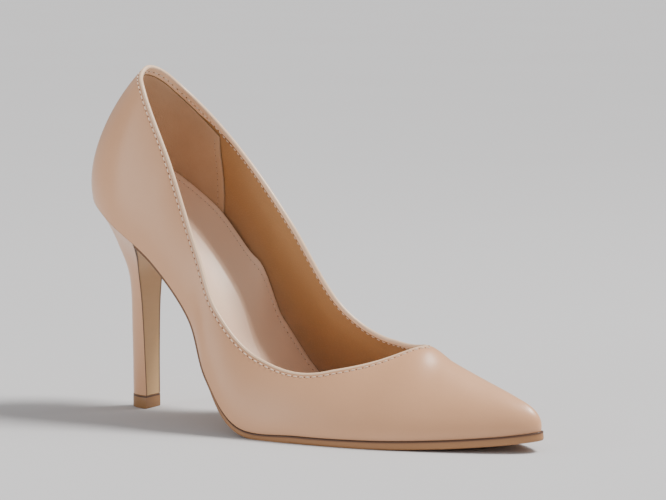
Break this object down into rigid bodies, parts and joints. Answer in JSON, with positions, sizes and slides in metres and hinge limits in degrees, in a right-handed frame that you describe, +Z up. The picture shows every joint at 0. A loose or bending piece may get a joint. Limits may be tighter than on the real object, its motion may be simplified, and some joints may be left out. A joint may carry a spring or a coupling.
{
  "type": "high heel pump",
  "caption": "Pointed-toe court shoe in smooth nude leather with a slim high heel, stitched rolled topline and padded sock.",
  "frame": {"origin": "middle of the bounding box in plan, on the floor the shoe stands on", "axes": "+X towards the toe, +Y towards the inner side of the foot, +Z up"},
  "size_m": [0.2256, 0.0739, 0.1522],
  "materials": {
    "upper_leather": "smooth nude leather, satin",
    "edge_leather": "folded leather edge, satin",
    "tape": "woven tape",
    "thread": "twisted polyester thread",
    "grip_thread": "twisted polyester thread",
    "puff": "stiffened cloth",
    "counter": "leather board",
    "lining_leather": "fine grain lining leather",
    "grip_suede": "suede",
    "board": "cellulose insole board",
    "tuck": "hard fibre board",
    "steel": "mill finish",
    "filler": "felt filler",
    "foam": "soft foam",
    "sock_leather": "smooth nude leather",
    "sole_leather": "tan sole, dyed edge",
    "heel_plastic": "moulded plastic",
    "heel_leather": "nude leather wrap",
    "breast_leather": "tan leather",
    "top_plastic": "hard tan plastic"
  },
  "bodies": {
    "root": {"upper": "upper_leather", "topline_edge": "edge_leather", "topline_tape": "tape", "topline_stitching": "thread", "toe_puff": "puff", "heel_counter": "counter", "lining": "lining_leather", "heel_grip": "grip_suede", "heel_grip_stitching": "grip_thread", "insole_board": "board", "tuck_board": "tuck", "shank": "steel", "shank_rivets": "steel", "bottom_filler": "filler", "sock_pad": "foam", "sock": "sock_leather", "sock_stitching": "thread", "outsole": "sole_leather", "heel_block": "heel_plastic", "heel_cover": "heel_leather", "heel_breast_cover": "breast_leather", "heel_tube": "steel", "top_piece": "top_plastic", "top_piece_pin": "steel", "heel_nails": "steel", "heel_screw": "steel"}
  },
  "joints": []
}
